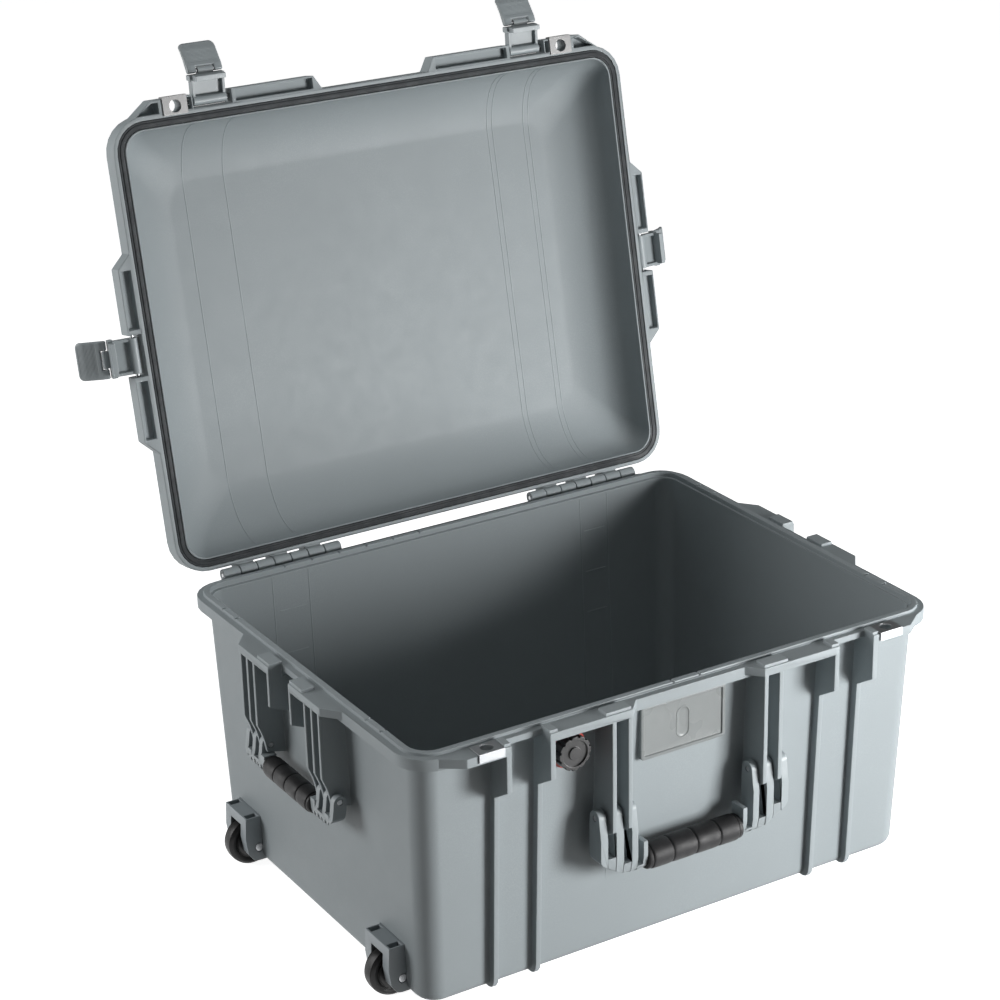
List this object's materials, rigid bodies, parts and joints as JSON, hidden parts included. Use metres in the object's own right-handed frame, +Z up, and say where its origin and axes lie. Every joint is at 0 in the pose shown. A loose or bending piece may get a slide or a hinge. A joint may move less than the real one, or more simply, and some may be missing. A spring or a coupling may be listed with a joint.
{
  "type": "wheeled equipment case",
  "caption": "Hard polymer transport case with a hinged domed lid, folding draw latches, hanging carry handles, corner wheels and a retractable pull handle.",
  "frame": {"origin": "underside of the centre runner, under the middle of the base, on the ground plane", "axes": "+X along the case's length away from the wheels, -Y out of the front with the main handle, +Z up"},
  "size_m": [0.6668, 0.5946, 0.7479],
  "materials": {
    "shell_polymer": "lightly textured moulded polymer",
    "latch_polymer": "satin moulded polymer",
    "handle_polymer": "satin moulded polymer",
    "housing_polymer": "satin moulded polymer",
    "tyre": "smooth rubber tread",
    "hub_plastic": "black moulded hub",
    "grip_rubber": "soft overmoulded rubber",
    "seal_rubber": "smooth foamed rubber",
    "plate_steel": "stamped stainless sheet",
    "valve_plastic": "black moulded plastic",
    "valve_ring": "red seal ring",
    "label_clear": "clear moulded window",
    "pull_tube": "anodised tube",
    "pull_plastic": "black moulded plastic",
    "pin_steel": "turned steel pin"
  },
  "bodies": {
    "base": {"base_shell": "shell_polymer", "base_padlock_plate_left": "plate_steel", "base_padlock_plate_right": "plate_steel", "hinge_pin_left": "pin_steel", "hinge_pin_right": "pin_steel", "purge_valve_body": "valve_plastic", "purge_valve_ring": "valve_ring", "purge_valve_cap": "valve_plastic", "label_window": "label_clear", "wheel_housing_front": "housing_polymer", "wheel_housing_rear": "housing_polymer", "wheel_axle_front": "pin_steel", "wheel_axle_rear": "pin_steel", "front_handle_pin_left": "pin_steel", "front_handle_pin_right": "pin_steel", "left_handle_pin_front": "pin_steel", "left_handle_pin_rear": "pin_steel", "right_handle_pin_front": "pin_steel", "right_handle_pin_rear": "pin_steel", "pull_sleeve_front": "pull_plastic", "pull_sleeve_rear": "pull_plastic"},
    "wheel_front": {"wheel_tyre_front": "tyre", "wheel_hub_front": "hub_plastic"},
    "wheel_rear": {"wheel_tyre_rear": "tyre", "wheel_hub_rear": "hub_plastic"},
    "lid": {"lid_shell": "shell_polymer", "lid_seal": "seal_rubber", "lid_padlock_plate_left": "plate_steel", "lid_padlock_plate_right": "plate_steel", "latch_pin_front_left": "pin_steel", "latch_pin_front_right": "pin_steel", "latch_pin_left_end": "pin_steel", "latch_pin_right_end": "pin_steel"},
    "front_handle": {"front_handle_frame": "handle_polymer", "front_handle_grip": "grip_rubber"},
    "left_handle": {"left_handle_frame": "handle_polymer", "left_handle_grip": "grip_rubber"},
    "right_handle": {"right_handle_frame": "handle_polymer", "right_handle_grip": "grip_rubber"},
    "pull_handle": {"pull_tube_front": "pull_tube", "pull_tube_rear": "pull_tube", "pull_grip": "pull_plastic"},
    "pull_button": {"pull_release_button": "pull_plastic"},
    "latch_front_left": {"latch_arm_front_left": "latch_polymer", "lever_pin_front_left": "pin_steel"},
    "lever_front_left": {"latch_lever_front_left": "latch_polymer"},
    "latch_front_right": {"latch_arm_front_right": "latch_polymer", "lever_pin_front_right": "pin_steel"},
    "lever_front_right": {"latch_lever_front_right": "latch_polymer"},
    "latch_left_end": {"latch_arm_left_end": "latch_polymer", "lever_pin_left_end": "pin_steel"},
    "lever_left_end": {"latch_lever_left_end": "latch_polymer"},
    "latch_right_end": {"latch_arm_right_end": "latch_polymer", "lever_pin_right_end": "pin_steel"},
    "lever_right_end": {"latch_lever_right_end": "latch_polymer"}
  },
  "joints": [
    {"name": "lid_hinge", "type": "hinge", "parent": "base", "child": "lid", "pos_m": [0, 0.2237, 0.2626], "axis": [1, 0, 0], "range_deg": [0, 101.45]},
    {"name": "latch_pivot_front_left", "type": "hinge", "parent": "lid", "child": "latch_front_left", "pos_m": [-0.1735, 0.32365, 0.69864], "axis": [1, 0, 0], "range_deg": [0, 82]},
    {"name": "lever_pivot_front_left", "type": "hinge", "parent": "latch_front_left", "child": "lever_front_left", "pos_m": [-0.1735, 0.3289, 0.72587], "axis": [1, 0, 0], "range_deg": [0, 23]},
    {"name": "latch_pivot_front_right", "type": "hinge", "parent": "lid", "child": "latch_front_right", "pos_m": [0.1735, 0.32365, 0.69864], "axis": [1, 0, 0], "range_deg": [0, 82]},
    {"name": "lever_pivot_front_right", "type": "hinge", "parent": "latch_front_right", "child": "lever_front_right", "pos_m": [0.1735, 0.3289, 0.72587], "axis": [1, 0, 0], "range_deg": [0, 23]},
    {"name": "latch_pivot_left_end", "type": "hinge", "parent": "lid", "child": "latch_left_end", "pos_m": [-0.2865, 0.27928, 0.47958], "axis": [0, 0.1985, 0.9801], "range_deg": [0, 99]},
    {"name": "lever_pivot_left_end", "type": "hinge", "parent": "latch_left_end", "child": "lever_left_end", "pos_m": [-0.3131, 0.28698, 0.47802], "axis": [0, 0.1985, 0.9801], "range_deg": [0, 23]},
    {"name": "latch_pivot_right_end", "type": "hinge", "parent": "lid", "child": "latch_right_end", "pos_m": [0.2865, 0.27928, 0.47958], "axis": [0, -0.1985, -0.9801], "range_deg": [0, 99]},
    {"name": "lever_pivot_right_end", "type": "hinge", "parent": "latch_right_end", "child": "lever_right_end", "pos_m": [0.3131, 0.28698, 0.47802], "axis": [0, -0.1985, -0.9801], "range_deg": [0, 23]},
    {"name": "front_handle_pivot", "type": "hinge", "parent": "base", "child": "front_handle", "pos_m": [0, -0.217, 0.159], "axis": [-1, 0, 0], "range_deg": [0, 95]},
    {"name": "left_handle_pivot", "type": "hinge", "parent": "base", "child": "left_handle", "pos_m": [-0.281, 0, 0.169], "axis": [0, 1, 0], "range_deg": [0, 85]},
    {"name": "right_handle_pivot", "type": "hinge", "parent": "base", "child": "right_handle", "pos_m": [0.281, 0, 0.169], "axis": [0, -1, 0], "range_deg": [0, 85]},
    {"name": "pull_slide", "type": "slide", "parent": "base", "child": "pull_handle", "axis": [1, 0, 0], "range_m": [0, 0.32]},
    {"name": "button_press", "type": "slide", "parent": "pull_handle", "child": "pull_button", "axis": [-1, 0, 0], "range_m": [0, 0.003], "stiffness_N_per_m": 400},
    {"name": "wheel_spin_front", "type": "hinge", "parent": "base", "child": "wheel_front", "pos_m": [-0.266, -0.1385, 0.0245], "axis": [0, 1, 0], "continuous": true},
    {"name": "wheel_spin_rear", "type": "hinge", "parent": "base", "child": "wheel_rear", "pos_m": [-0.266, 0.1385, 0.0245], "axis": [0, 1, 0], "continuous": true}
  ]
}
